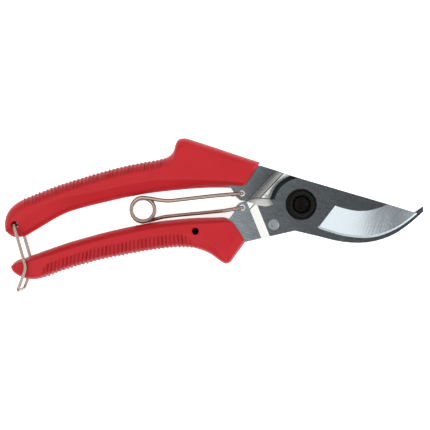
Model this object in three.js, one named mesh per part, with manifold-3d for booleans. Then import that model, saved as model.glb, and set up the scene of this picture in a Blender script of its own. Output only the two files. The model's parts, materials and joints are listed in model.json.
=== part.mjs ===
// Bypass pruning shears, closed and latched, lying flat.
// Millimetres. +X runs from the handles to the jaws, +Y is the side of the upper grip and
// +Z is up. The origin is on the pivot's axis, on the flat of the pivot bolt's head.
import * as THREE from "three";
import { mergeVertices } from "three/addons/utils/BufferGeometryUtils.js";
import Module from "manifold-3d";

const wasm = await Module();
wasm.setup();

// ---------------------------------------------------------------- driving dimensions
const GAP = 0.3;                    // between pieces that touch
const JAW_LENGTH = 59.1;            // pivot to the tip of the hook
const GRIP_REACH = 141.4;           // pivot to the butt of the upper grip
const GRIP_THICKNESS = 13.2;
const GRIP_EDGE = 2.6;              // rounding of a grip's edges, in the plan
const GRIP_CROWN = 3.4;             // rounding of a grip's edges, in the thickness
const TANG_THICKNESS = 6;
const TANG_LENGTH = 74;             // pivot to the end of both tangs
const HOOK_THICKNESS = 5.5;
const BLADE_THICKNESS = 4;
const BLADE_END_RADIUS = 12.5;      // round end of the blade about the pivot
const HOOK_BOSS_RADIUS = 12;        // round end of the hook plate about the pivot
const HOOK_HEEL_RADIUS = 18.5;      // how far the hook's stop shoulder reaches
const EDGE_LAND = 0.3;              // height left at the cutting edge
const HONE_WIDTH = 1.1;             // narrow honed bevel along the cutting edge
const HONE_START = 1.1;             // its height where it leaves the wide bevel
const POCKET_RADIUS = 14.6;         // milled pocket in the hook where the blade's end turns

const BOLT_SHANK_RADIUS = 4.7;
const BOLT_NECK_RADIUS = BOLT_SHANK_RADIUS + 0.5;
const BOLT_NECK_FLAT = BOLT_SHANK_RADIUS - GAP;   // axis to each flat of the neck
const BOLT_HEAD_RADIUS = BOLT_NECK_RADIUS + 2;
const BOLT_HEAD_HEIGHT = 3.45;
const BOLT_CHAMFER = 0.7;
const BOLT_THREAD_RADIUS = BOLT_SHANK_RADIUS - 0.8;
const BOLT_END_DROP = 0.9;          // bolt's end below the nut's top
const WASHER_RADIUS = BOLT_THREAD_RADIUS + 3.6;
const WASHER_THICKNESS = 0.9;
const NUT_RADIUS = BOLT_THREAD_RADIUS + 2;
const NUT_HEIGHT = 3.1;
const NUT_TEETH = 18;
const NUT_TOOTH_DEPTH = 0.7;
const NUT_TOOTH_WIDTH = 0.9;
const NUT_RECESS_RADIUS = BOLT_THREAD_RADIUS + 0.7;
const NUT_RECESS_DEPTH = 0.8;

const STOP_PIN = [-13.0, -9.6];
const STOP_PIN_RADIUS = 1.8;
const STOP_HEAD_RADIUS = 2.5;
const STOP_HEAD_DEPTH = 2.6;
const STOP_HEAD_PROUD = 0.35;
const STOP_DIMPLE_RADIUS = 0.7;
const STOP_PIN_DROP = 3.2;          // pin below the plane where the plates meet

const SPRING_WIRE = 1.8;
const SPRING_TURNS = 2.5;
const COIL_RADIUS = 5.6;            // to the middle of the wire
const COIL_CENTRE = [-75.4, -2.5];
const COIL_SPLIT = 20;              // degrees of coil left out between the halves
const UPPER_EYE = [-28.0, 5.3];     // spring hole in the hook member
const LOWER_EYE = [-27.8, -1.5];    // spring hole in the blade member
const EYE_CLEARANCE = 0.55;
const UPPER_TAIL = 5;
const LOWER_TAIL = 9.5;

const LATCH_WIRE = 1.5;
const LATCH_HOLE_RADIUS = 1.65;
const LATCH_SIDE_CLEARANCE = 1.05;  // grip's face to the latch's leg
const LATCH_PINCH = 0.6;            // each leg leans in by this much at the crossbar
const LATCH_BEND = 2.2;
const LATCH_DEPTH = 5;              // how far each end enters the grip
const DIMPLE = [-50.2, -12.7];      // round socket in each face of the lower grip
const DIMPLE_RADIUS = 1.7;

// ---------------------------------------------------------------- levels
const HOOK_LOW = BOLT_HEAD_HEIGHT + GAP;
const MEET = HOOK_LOW + HOOK_THICKNESS;           // plane where the two plates slide
const HOOK_TOP = MEET - GAP / 2;
const BLADE_LOW = MEET + GAP / 2;
const BLADE_TOP = BLADE_LOW + BLADE_THICKNESS;
const TANG_TOP = MEET + TANG_THICKNESS / 2;
const TANG_LOW = MEET - TANG_THICKNESS / 2;
const WASHER_LOW = BLADE_TOP + GAP;
const NUT_LOW = WASHER_LOW + WASHER_THICKNESS + GAP;
const NUT_TOP = NUT_LOW + NUT_HEIGHT;
const ABOVE = NUT_TOP + 10;
const BELOW = -10;

// ---------------------------------------------------------------- shape helpers
const TURN = 2 * Math.PI;
const degrees = (value) => (value * Math.PI) / 180;
const polar = (radius, angle) => [radius * Math.cos(degrees(angle)), radius * Math.sin(degrees(angle))];
const place = ([x, y]) => new THREE.Vector2(x, y);

// Lengthens what lies behind the grips' throat, so that a grip's outline follows GRIP_REACH.
const THROAT = -68;
const DRAWN_REACH = 141.4;
const behind = ([x, y]) => {
  const share = (GRIP_REACH + THROAT) / (DRAWN_REACH + THROAT);
  return x < THROAT ? [THROAT + (x - THROAT) * share, y] : [x, y];
};

// Lengthens what lies beyond the jaws' root, so that the jaws follow JAW_LENGTH.
const JAW_ROOT = 20;
const DRAWN_JAW = 59.1;
const ahead = ([x, y]) => {
  const share = (JAW_LENGTH - JAW_ROOT) / (DRAWN_JAW - JAW_ROOT);
  return x > JAW_ROOT ? [JAW_ROOT + (x - JAW_ROOT) * share, y] : [x, y];
};

// A smooth stretch of outline through its points.
function smooth(points, steps) {
  const curve = new THREE.CatmullRomCurve3(
    points.map(([x, y]) => new THREE.Vector3(x, y, 0)),
    false,
    "centripetal",
  );
  return curve.getSpacedPoints(steps).map((point) => [point.x, point.y]);
}

function arc(radius, from, to, steps) {
  const points = [];
  for (let i = 0; i <= steps; i += 1) {
    points.push(polar(radius, from + ((to - from) * i) / steps));
  }
  return points;
}

// Joins stretches into one outline, leaving out points that repeat.
function outline(...stretches) {
  const points = [];
  for (const point of stretches.flat()) {
    const last = points[points.length - 1];
    if (!last || Math.hypot(point[0] - last[0], point[1] - last[1]) > 0.05) {
      points.push(point);
    }
  }
  const [first, last] = [points[0], points[points.length - 1]];
  if (Math.hypot(first[0] - last[0], first[1] - last[1]) < 0.05) {
    points.pop();
  }
  return points;
}

// Moves every side of an outline outwards by a distance.
function grown(points, distance) {
  const area = THREE.ShapeUtils.area(points.map(place));
  const side = Math.sign(area) * distance;
  return points.map((point, i) => {
    const before = place(points[(i + points.length - 1) % points.length]);
    const here = place(point);
    const after = place(points[(i + 1) % points.length]);
    const into = here.clone().sub(before).normalize();
    const out = after.clone().sub(here).normalize();
    const normal = new THREE.Vector2(into.y + out.y, -into.x - out.x).normalize();
    const spread = Math.max(0.5, normal.dot(new THREE.Vector2(into.y, -into.x)));
    const moved = here.addScaledVector(normal, side / spread);
    return [moved.x, moved.y];
  });
}

function solid(geometry) {
  geometry.deleteAttribute("normal");
  geometry.deleteAttribute("uv");
  const merged = mergeVertices(geometry, 1e-4);
  return new wasm.Manifold(
    new wasm.Mesh({
      numProp: 3,
      vertProperties: merged.attributes.position.array,
      triVerts: new Uint32Array(merged.index.array),
    }),
  );
}

function plate(points, low, high) {
  const shape = new THREE.Shape(points.map(place));
  const geometry = new THREE.ExtrudeGeometry(shape, { depth: high - low, bevelEnabled: false });
  return solid(geometry.translate(0, 0, low));
}

function turned(profile, [x, y], segments) {
  const geometry = new THREE.LatheGeometry(profile.map(place), segments);
  return solid(geometry.rotateX(Math.PI / 2).translate(x, y, 0));
}

function rod([x, y], radius, low, high, segments = 24) {
  const geometry = new THREE.CylinderGeometry(radius, radius, high - low, segments);
  return solid(geometry.rotateX(Math.PI / 2).translate(x, y, (low + high) / 2));
}

// A long bar with a side profile of [distance from the pivot, height] points. The distance is
// measured in the plan, along the direction at the given angle.
function profiled(profile, angle) {
  const halfWidth = 90;
  const shape = new THREE.Shape(profile.map(place));
  const geometry = new THREE.ExtrudeGeometry(shape, { depth: 2 * halfWidth, bevelEnabled: false });
  const along = new THREE.Vector3(...polar(1, angle), 0);
  const up = new THREE.Vector3(0, 0, 1);
  const across = along.clone().cross(up);
  geometry.translate(0, 0, -halfWidth);
  geometry.applyMatrix4(new THREE.Matrix4().makeBasis(along, up, across));
  return solid(geometry);
}

// A closed solid through equal rows of corners.
function ruled(rows) {
  const count = rows[0].length;
  const positions = rows.flat().flatMap((corner) => [corner.x, corner.y, corner.z]);
  const index = [];
  for (let row = 0; row + 1 < rows.length; row += 1) {
    for (let i = 0; i < count; i += 1) {
      const a = row * count + i;
      const b = row * count + ((i + 1) % count);
      index.push(a, b, b + count, a, b + count, a + count);
    }
  }
  const last = (rows.length - 1) * count;
  for (let i = 1; i + 1 < count; i += 1) {
    index.push(0, i + 1, i, last, last + i, last + i + 1);
  }
  // The rows' corners may run either way round, so the faces are turned outwards here.
  const lengthwise = rows[1][0].clone().sub(rows[0][0]);
  const firstSide = rows[0][1].clone().sub(rows[0][0]);
  const secondSide = rows[0][2].clone().sub(rows[0][1]);
  if (firstSide.cross(secondSide).dot(lengthwise) < 0) {
    index.reverse();
  }
  const geometry = new THREE.BufferGeometry();
  geometry.setAttribute("position", new THREE.Float32BufferAttribute(positions, 3));
  geometry.setIndex(index);
  return solid(geometry);
}

// What a sloping cut takes away: its surface runs from a line high on the plate to a lower line.
function slopeCut(highLine, lowLine, high, low, steps) {
  const over = 1.5;
  const upper = smooth(highLine, steps);
  const lower = smooth(lowLine, steps);
  const rows = upper.map(([ax, ay], i) => {
    const [bx, by] = lower[i];
    const reach = 1 + over / Math.hypot(bx - ax, by - ay);
    const endX = ax + (bx - ax) * reach;
    const endY = ay + (by - ay) * reach;
    const endZ = high + (low - high) * reach;
    return [
      new THREE.Vector3(ax, ay, high),
      new THREE.Vector3(endX, endY, endZ),
      new THREE.Vector3(endX, endY, ABOVE),
      new THREE.Vector3(ax, ay, ABOVE),
    ];
  });
  return ruled(rows);
}

// Wire along a route of [x, y, z] points, with its corners rounded.
function wire(route, diameter, bend, step) {
  const path = new THREE.CurvePath();
  const corners = route.map((point) => new THREE.Vector3(...point));
  let from = corners[0];
  for (let i = 1; i + 1 < corners.length; i += 1) {
    const before = corners[i].clone().sub(corners[i - 1]);
    const after = corners[i + 1].clone().sub(corners[i]);
    const trim = Math.min(bend, before.length() / 2.05, after.length() / 2.05);
    const start = corners[i].clone().addScaledVector(before.normalize(), -trim);
    const end = corners[i].clone().addScaledVector(after.normalize(), trim);
    path.add(new THREE.LineCurve3(from, start));
    path.add(new THREE.QuadraticBezierCurve3(start, corners[i], end));
    from = end;
  }
  path.add(new THREE.LineCurve3(from, corners[corners.length - 1]));
  return tube(path, diameter, Math.round(path.getLength() / step));
}

function tube(path, diameter, steps) {
  const sides = 8;
  const section = [];
  for (let i = 0; i < sides; i += 1) {
    section.push(place(polar(diameter / 2, (360 * i) / sides)));
  }
  const shape = new THREE.Shape(section);
  return solid(new THREE.ExtrudeGeometry(shape, { steps, extrudePath: path, bevelEnabled: false }));
}

// ---------------------------------------------------------------- steel members
// The tang of the hook member, inside the upper grip, then its top edge, round boss, jaw,
// stop shoulder and nose.
const stopRadius = Math.hypot(...STOP_PIN);
const stopAngle = 360 + (Math.atan2(STOP_PIN[1], STOP_PIN[0]) * 360) / TURN;
const stopHalfWidth = (Math.asin((STOP_PIN_RADIUS + GAP) / stopRadius) * 360) / TURN;
const shoulderAngle = stopAngle - stopHalfWidth;

const jawInside = [
  [13, -8.6], [17, -11], [22, -12.6], [28, -13.4], [34, -13.1], [40, -11.8], [46, -9.4],
  [51, -6.4], [54.6, -3.9], [57, -2.2], [59.1, -0.7],
].map(ahead);
const jawOutside = [
  [59.1, -3.3], [52.7, -9], [44.2, -14.7], [34.7, -17.8], [27.1, -18.4], [18.5, -17.6], [9, -15.3],
].map(ahead);
const hookOutline = outline(
  [[-TANG_LENGTH, 9.8], [-TANG_LENGTH, 14], [-52, 18.2], [-26, 19.1], [-19, 18.5]],
  arc(HOOK_BOSS_RADIUS, 71, -30, 10),
  smooth(jawInside, 14),
  smooth(jawOutside, 14),
  [[-2.4, -12.6]],
  arc(HOOK_BOSS_RADIUS + 0.6, 257, shoulderAngle, 5),
  [polar(HOOK_HEEL_RADIUS, shoulderAngle)],
  smooth([[-19.6, -5.4], [-21.6, -1.6], [-23.2, 1.4]], 4),
  [[-25.2, 1.8], [-28.5, 1.9], [-29.7, 2.7], [-30.9, 3.8], [-32.1, 6.2], [-33.2, 7.8], [-37, 9.6]],
);

const bladeEdge = [
  [55.9, -4.4], [51.8, -7.8], [47, -11.1], [42.3, -13.4], [37.5, -15.1], [32.8, -15.9],
  [28, -15.9], [23.3, -15.4], [18.5, -14.5], [14.7, -13.3], [11.4, -12.35], [8.2, -11.1],
].map(ahead);
const leafTop = [[-27.6, 1.3], [-24.5, 2.2], [-21.4, 2.9], [-17.1, 2.7], [-14.7, 2.4]];
const bladeOutline = outline(
  [ahead([55.7, -4.05])],
  smooth(bladeEdge, 20),
  smooth([[8.2, -11.1], [6.65, -10.8], [3.3, -11.1], [-2.4, -12.35]], 5),
  [[-15.7, -15.4], [-26.1, -17.8], [-32, -18.6], [-48, -17.6], [-TANG_LENGTH, -18.4]],
  [[-TANG_LENGTH, -14], [-52, -9], [-37, -8.4]],
  smooth([[-33.7, -6.2], [-31.6, -3.3], [-30.9, -0.95], [-29.4, 0.7], [-27.6, 1.3]], 6),
  smooth(leafTop, 6),
  arc(BLADE_END_RADIUS, 170, 93, 12),
);

// Hook member: the tang steps down by a slope to the recess where the blade turns.
const SLOPE_ANGLE = -43.1;          // plan direction across the hook's slope, towards the pivot
const SLOPE_HIGH = -20.3;           // where the slope starts, along that direction
const SLOPE_LOW = -16.2;            // where it ends, in a small step
const SLOPE_STEP = 0.35;
const SLOPE_STRIPS = 6;             // flat strips that make up the rounded slope
const SLOPE_ROUND = 1.6;            // 1 is a straight slope; more rolls over later
const SHELF = 1.9;                  // height of the hollow shelf below the step
const SHELF_REACH = 7;              // its width, down to the pocket's floor
const UNDER_HIGH = -24.6;            // the same under the tang, where the plate is thicker
const UNDER_LOW = -19;
const FAR = 100;
const shelfTop = HOOK_TOP + SHELF;
const stepTop = shelfTop + SLOPE_STEP;

// The slope rolls over from the tang's face and is steepest at the step.
function slopeProfile() {
  const points = [];
  for (let i = 0; i <= SLOPE_STRIPS; i += 1) {
    const share = i / SLOPE_STRIPS;
    const height = TANG_TOP - (TANG_TOP - stepTop) * (1 - share) ** SLOPE_ROUND;
    points.push([SLOPE_LOW + (SLOPE_HIGH - SLOPE_LOW) * share, height]);
  }
  return points;
}

// The shelf is steepest at the step and runs out level.
function shelfProfile() {
  const points = [];
  for (let i = 0; i <= SLOPE_STRIPS; i += 1) {
    const share = i / SLOPE_STRIPS;
    points.push([SLOPE_LOW + SHELF_REACH * (1 - share), HOOK_TOP + SHELF * share ** 2]);
  }
  return points;
}

const hookProfile = [
  [-FAR, TANG_LOW], [UNDER_HIGH, TANG_LOW], [UNDER_LOW, HOOK_LOW], [FAR, HOOK_LOW],
  [FAR, HOOK_TOP], ...shelfProfile(), ...slopeProfile(), [-FAR, TANG_TOP],
];

function hookBlade() {
  const cutAway = plate(grown(bladeOutline, GAP + 0.1), HOOK_TOP, ABOVE);
  return plate(hookOutline, BELOW, ABOVE)
    .intersect(profiled(hookProfile, SLOPE_ANGLE))
    .subtract(cutAway)
    .subtract(rod([0, 0], POCKET_RADIUS, HOOK_TOP, ABOVE, 64))
    .subtract(rod(UPPER_EYE, SPRING_WIRE / 2 + EYE_CLEARANCE, BELOW, ABOVE, 20))
    .subtract(flattedRod(BOLT_NECK_RADIUS + GAP, BOLT_NECK_FLAT + GAP, BELOW, ABOVE));
}

// Blade member: a bright facet rises from the tang to the blade, which is flat underneath.
const FACET_ANGLE = 22;             // plan direction across the facet, towards the pivot
const FACET_LOW = -23.6;
const FACET_HIGH = -19.4;
const FACET_GROOVE = 0.4;
const UNDER_STEP = -24.5;           // where the tang's underside ends
const bladeProfile = [
  [-FAR, TANG_LOW], [UNDER_STEP, TANG_LOW], [UNDER_STEP, BLADE_LOW], [FAR, BLADE_LOW],
  [FAR, BLADE_TOP], [FACET_HIGH, BLADE_TOP], [FACET_LOW, TANG_TOP - FACET_GROOVE],
  [FACET_LOW, TANG_TOP], [-FAR, TANG_TOP],
];
const bevelTop = [
  [16.2, -0.6], [20.9, -2], [26.1, -3], [31.8, -2.9], [37.5, -1.5], [42, 0.6], [49, 5], [58, 12],
].map(ahead);
const leafFoot = [[-27.2, 0.2], [-23.5, 0.1], [-19.5, -0.5], [-16.5, -0.9], [-13.2, 0.2]];

function cuttingBlade() {
  const edge = bladeEdge.slice().reverse();
  const inside = edge.map(([x, y]) => [x, y + HONE_WIDTH]);
  const bevel = slopeCut(bevelTop, edge, BLADE_TOP, BLADE_LOW + HONE_START * 0.75, 30);
  const hone = slopeCut(inside, edge, BLADE_LOW + HONE_START, BLADE_LOW + EDGE_LAND, 30);
  const leaf = slopeCut(leafFoot, leafTop, BLADE_TOP, MEET + 1.6, 10);
  return plate(bladeOutline, BELOW, ABOVE)
    .intersect(profiled(bladeProfile, FACET_ANGLE))
    .subtract(bevel)
    .subtract(hone)
    .subtract(leaf)
    .subtract(rod(LOWER_EYE, SPRING_WIRE / 2 + EYE_CLEARANCE, BELOW, ABOVE, 20))
    .subtract(rod([0, 0], BOLT_SHANK_RADIUS + GAP, BELOW, ABOVE, 32))
    .subtract(rod(STOP_PIN, STOP_PIN_RADIUS + GAP, BELOW, ABOVE, 20))
    .subtract(rod(STOP_PIN, STOP_HEAD_RADIUS + GAP, BLADE_TOP - STOP_HEAD_DEPTH - GAP, ABOVE, 20));
}

// ---------------------------------------------------------------- pivot
function flattedRod(radius, flat, low, high) {
  const half = (Math.acos(flat / radius) * 360) / TURN;
  const points = [
    ...arc(radius, half, 180 - half, 12),
    ...arc(radius, 180 + half, 360 - half, 12),
  ];
  return plate(points, low, high);
}

function pivotBolt() {
  const head = turned(
    [
      [0, 0], [BOLT_HEAD_RADIUS - BOLT_CHAMFER, 0], [BOLT_HEAD_RADIUS, BOLT_CHAMFER],
      [BOLT_HEAD_RADIUS, BOLT_HEAD_HEIGHT], [0, BOLT_HEAD_HEIGHT],
    ],
    [0, 0],
    32,
  );
  const buried = BOLT_HEAD_HEIGHT / 2;
  return head
    .add(flattedRod(BOLT_NECK_RADIUS, BOLT_NECK_FLAT, buried, HOOK_TOP - GAP))
    .add(rod([0, 0], BOLT_SHANK_RADIUS - GAP, buried, BLADE_TOP, 24))
    .add(rod([0, 0], BOLT_THREAD_RADIUS, buried, NUT_TOP - BOLT_END_DROP, 24));
}

function pivotWasher() {
  const [low, high] = [WASHER_LOW, WASHER_LOW + WASHER_THICKNESS];
  const edge = WASHER_THICKNESS / 3;
  const bore = BOLT_THREAD_RADIUS + GAP;
  return turned(
    [
      [bore, low], [WASHER_RADIUS, low], [WASHER_RADIUS, high - edge], [WASHER_RADIUS - edge, high],
      [bore, high], [bore, low],
    ],
    [0, 0],
    32,
  );
}

function pivotNut() {
  const bore = BOLT_THREAD_RADIUS + GAP;
  let nut = turned(
    [
      [bore, NUT_LOW], [NUT_RADIUS, NUT_LOW], [NUT_RADIUS, NUT_TOP], [NUT_RECESS_RADIUS, NUT_TOP],
      [NUT_RECESS_RADIUS, NUT_TOP - NUT_RECESS_DEPTH], [bore, NUT_TOP - NUT_RECESS_DEPTH],
      [bore, NUT_LOW],
    ],
    [0, 0],
    36,
  );
  for (let i = 0; i < NUT_TEETH; i += 1) {
    const notch = new THREE.BoxGeometry(2 * NUT_TOOTH_DEPTH, NUT_TOOTH_WIDTH, NUT_HEIGHT);
    notch.translate(NUT_RADIUS, 0, NUT_TOP + NUT_HEIGHT / 2 - NUT_TOOTH_DEPTH);
    nut = nut.subtract(solid(notch.rotateZ((TURN * i) / NUT_TEETH)));
  }
  return nut;
}

function stopPin() {
  const headLow = BLADE_TOP - STOP_HEAD_DEPTH;
  const top = BLADE_TOP + STOP_HEAD_PROUD;
  return turned(
    [
      [0, MEET - STOP_PIN_DROP], [STOP_PIN_RADIUS, MEET - STOP_PIN_DROP],
      [STOP_PIN_RADIUS, headLow], [STOP_HEAD_RADIUS, headLow], [STOP_HEAD_RADIUS, BLADE_TOP],
      [STOP_HEAD_RADIUS - STOP_HEAD_PROUD, top], [STOP_DIMPLE_RADIUS, top],
      [0, top - STOP_DIMPLE_RADIUS],
    ],
    STOP_PIN,
    20,
  );
}

// ---------------------------------------------------------------- spring
const coilPitch = SPRING_WIRE + GAP;
const coilRise = (SPRING_TURNS * coilPitch) / 2;
const armDrop = TANG_THICKNESS / 2 + GAP + SPRING_WIRE / 2;
const coilPoint = (turns) => {
  const [x, y] = polar(COIL_RADIUS, 90 + 360 * turns);
  return [COIL_CENTRE[0] + x, COIL_CENTRE[1] + y, MEET + coilRise - turns * coilPitch];
};

// Points of the coil between two numbers of turns, counted from the upper arm.
function coilRun(from, to) {
  const perTurn = 16;
  const count = Math.round((to - from) * perTurn);
  const points = [];
  for (let i = 0; i <= count; i += 1) {
    points.push(coilPoint(from + ((to - from) * i) / count));
  }
  return points;
}

// The end of an arm: through its eye to the other side of the tang, and a short tail back.
function hookedEnd([x, y], side, tail, slope) {
  const back = Math.hypot(1, slope);
  return [
    [x, y, MEET + side * armDrop],
    [x, y, MEET - side * armDrop],
    [x - tail / back, y - (slope * tail) / back, MEET - side * armDrop],
  ];
}

function springHalf(coil, arm, end) {
  const route = [...coil, ...arm, ...end];
  return wire(route, SPRING_WIRE, SPRING_WIRE * 0.8, 1.15);
}

const upperArm = [
  [-70.8, 2.75], [-67.9, 2.2], [-64.6, 1.85], [-61.3, 1.85], [-57.5, 2.3], [-48, 3.4], [-38.5, 4.4],
];
const lowerArm = [
  [-71.4, -7.5], [-67.9, -6.5], [-64.6, -5.8], [-57.5, -5], [-48, -4.1], [-37.5, -3.0],
];

// Gives an arm its height, from the coil's end to the face of the tang.
const climb = (arm, side) => arm.map(([x, y], i) => {
  const share = (i + 1) / arm.length;
  return [x, y, MEET + side * (coilRise + (armDrop - coilRise) * share)];
});

function springUpper() {
  const half = SPRING_TURNS / 2 - COIL_SPLIT / 720;
  const coil = coilRun(0, half).reverse();
  return springHalf(coil, climb(upperArm, 1), hookedEnd(UPPER_EYE, 1, UPPER_TAIL, 0.12));
}

function springLower() {
  const half = SPRING_TURNS / 2 + COIL_SPLIT / 720;
  const coil = coilRun(half, SPRING_TURNS);
  return springHalf(coil, climb(lowerArm, -1), hookedEnd(LOWER_EYE, -1, LOWER_TAIL, 0.17));
}

// ---------------------------------------------------------------- latch
const latchHole = behind([-135.6, -9.7]);
const latchLeg = GRIP_THICKNESS / 2 + LATCH_SIDE_CLEARANCE + LATCH_WIRE / 2;
const latchPlan = [[-130.2, -28.6], [-130.2, -30.8], [-133.9, -40.7]].map(behind);

function latchWire() {
  const spread = [latchLeg, latchLeg, latchLeg - LATCH_PINCH / 2, latchLeg - LATCH_PINCH];
  const plan = [latchHole, ...latchPlan];
  const leg = plan.map(([x, y], i) => [x, y, spread[i]]);
  const inside = GRIP_THICKNESS / 2 - LATCH_DEPTH;
  const front = [[...latchHole, inside], ...leg];
  const back = front.map(([x, y, z]) => [x, y, -z]).reverse();
  const route = [...front, ...back].map(([x, y, z]) => [x, y, MEET + z]);
  return wire(route, LATCH_WIRE, LATCH_BEND, 1.1);
}

// ---------------------------------------------------------------- grips
const upperGripOutline = outline(
  smooth([
    [-131.9, 2.6], [-124, 5.8], [-114.5, 9.4], [-100.2, 13.9], [-86, 17.7], [-67.2, 21.2],
    [-63.7, 22.4], [-60.8, 24.9], [-59.6, 28.6], [-57.5, 31.4], [-54.1, 31.6],
  ].map(behind), 34),
  [[-19.2, 20.3], [-27.2, 8.0]],
  smooth([
    [-38.5, 8.2], [-52.7, 7.6], [-67, 6.2], [-81.2, 4.0], [-95.5, 0.8], [-109.7, -2.9],
    [-119.2, -7.8], [-130.2, -14.4], [-134.5, -15.6], [-138.3, -15.2], [-140.7, -12.7],
    [-141.4, -8.8], [-140.4, -4.0], [-136.7, 0.5], [-131.9, 2.6],
  ].map(behind), 36),
);
const lowerGripOutline = outline(
  smooth([
    [-138.3, -29.9], [-136.3, -27.0], [-131.3, -25.6], [-119.2, -21.1], [-105, -16.5],
    [-90.7, -12.7], [-76.5, -9.6], [-62.2, -7.5], [-48, -6.4], [-36.1, -6.1],
  ].map(behind), 24),
  [[-34.3, -6.7], [-32.3, -8.6], [-26.2, -17.5]],
  smooth([
    [-32.3, -26.1], [-34.4, -27.9], [-37.5, -27.5], [-43.2, -23.5], [-48.4, -21.2], [-57.5, -20.1],
    [-67, -20.9], [-81.2, -23.1], [-95.5, -26], [-109.7, -30], [-121.6, -34], [-127.3, -35.7],
    [-133.6, -34.5], [-137.3, -32.3], [-138.3, -29.9],
  ].map(behind), 40),
);

function gripBody(points) {
  const shape = new THREE.Shape(points.map(place));
  const geometry = new THREE.ExtrudeGeometry(shape, {
    depth: GRIP_THICKNESS - 2 * GRIP_CROWN,
    bevelThickness: GRIP_CROWN,
    bevelSize: GRIP_EDGE,
    bevelOffset: -GRIP_EDGE,
    bevelSegments: 3,
  });
  return solid(geometry.translate(0, 0, MEET - GRIP_THICKNESS / 2 + GRIP_CROWN));
}

const tangSocket = (points) => plate(grown(points, GAP), TANG_LOW - GAP, TANG_TOP + GAP);

function upperGrip() {
  return gripBody(upperGripOutline)
    .subtract(tangSocket(hookOutline))
    .subtract(rod(latchHole, LATCH_HOLE_RADIUS, BELOW, ABOVE, 20));
}

function lowerGrip() {
  return gripBody(lowerGripOutline)
    .subtract(tangSocket(bladeOutline))
    .subtract(rod(DIMPLE, DIMPLE_RADIUS, TANG_TOP, ABOVE, 20))
    .subtract(rod(DIMPLE, DIMPLE_RADIUS, BELOW, TANG_LOW, 20));
}

// ---------------------------------------------------------------- assembly
const finish = (color, roughness, metalness) => () =>
  new THREE.MeshStandardMaterial({ color, roughness, metalness });
const brushedSteel = finish("#8d9294", 0.32, 1);
const redPlastic = finish("#c3202a", 0.42, 0);
const blackSteel = finish("#1a1b1d", 0.45, 0.6);
const brightSteel = finish("#b9bcbc", 0.25, 1);
const nickelWire = finish("#a89c8c", 0.25, 1);

const SMALLEST = 0.01;              // slivers smaller than this are closed up
const shears = new THREE.Group();

function add(name, body, material) {
  const { numProp, vertProperties, triVerts } = body.simplify(SMALLEST).getMesh();
  const geometry = new THREE.BufferGeometry();
  geometry.setAttribute("position", new THREE.BufferAttribute(vertProperties, numProp));
  geometry.setIndex(new THREE.BufferAttribute(triVerts, 1));
  geometry.computeVertexNormals();
  const mesh = new THREE.Mesh(geometry, material());
  mesh.name = name;
  shears.add(mesh);
}

add("hook_blade", hookBlade(), brushedSteel);
add("cutting_blade", cuttingBlade(), brushedSteel);
add("upper_grip", upperGrip(), redPlastic);
add("lower_grip", lowerGrip(), redPlastic);
add("pivot_bolt", pivotBolt(), blackSteel);
add("pivot_washer", pivotWasher(), blackSteel);
add("pivot_nut", pivotNut(), blackSteel);
add("stop_pin", stopPin(), brightSteel);
add("spring_upper_arm", springUpper(), nickelWire);
add("spring_lower_arm", springLower(), nickelWire);
add("latch_wire", latchWire(), nickelWire);

export default shears;
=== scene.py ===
"""Bypass pruning shears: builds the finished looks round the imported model."""

import json
import math

import bmesh
import bpy
from bpy.props import FloatProperty, FloatVectorProperty, IntProperty, PointerProperty
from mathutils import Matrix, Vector


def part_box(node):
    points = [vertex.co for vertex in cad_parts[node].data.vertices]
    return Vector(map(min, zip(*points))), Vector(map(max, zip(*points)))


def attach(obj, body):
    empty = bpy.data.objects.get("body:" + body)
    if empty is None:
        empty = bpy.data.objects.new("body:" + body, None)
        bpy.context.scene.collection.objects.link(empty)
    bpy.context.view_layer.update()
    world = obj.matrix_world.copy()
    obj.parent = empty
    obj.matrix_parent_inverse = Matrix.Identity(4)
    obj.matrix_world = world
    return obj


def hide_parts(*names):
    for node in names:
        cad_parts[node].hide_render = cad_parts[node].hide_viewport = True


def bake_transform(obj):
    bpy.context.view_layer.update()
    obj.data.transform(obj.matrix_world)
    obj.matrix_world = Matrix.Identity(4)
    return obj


bl_info = {
    "name": "Pruning shears",
    "version": (1, 0, 0),
    "blender": (4, 5, 0),
    "location": "3D View > Sidebar > Shears",
    "description": "Builds bypass pruning shears with ribbed grips, wire spring and latch",
    "category": "Add Mesh",
}

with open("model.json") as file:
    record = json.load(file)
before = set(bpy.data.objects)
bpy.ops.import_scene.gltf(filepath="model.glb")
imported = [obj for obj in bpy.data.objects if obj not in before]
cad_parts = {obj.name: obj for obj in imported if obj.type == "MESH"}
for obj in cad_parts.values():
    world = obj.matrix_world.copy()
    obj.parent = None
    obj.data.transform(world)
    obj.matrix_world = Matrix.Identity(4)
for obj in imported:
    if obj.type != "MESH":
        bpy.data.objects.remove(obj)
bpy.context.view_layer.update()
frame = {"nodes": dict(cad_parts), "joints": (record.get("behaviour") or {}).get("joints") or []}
JOINTS = {joint["name"]: Vector(joint["pos_m"]) for joint in frame["joints"]}
MM = 0.001

# Places taken from the frame.
PIVOT = JOINTS["main_pivot"]
UPPER_EYE = JOINTS["spring_upper_eye"]
COIL = JOINTS["spring_coil"]
LATCH_HOLE = JOINTS["latch_hinge"]
MEET = UPPER_EYE.z                       # the plane where the two plates slide
GRIP_LOW, GRIP_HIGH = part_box("upper_grip")
GRIP_HALF = (GRIP_HIGH[2] - GRIP_LOW[2]) / 2
BLADE_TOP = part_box("cutting_blade")[1][2]


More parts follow.
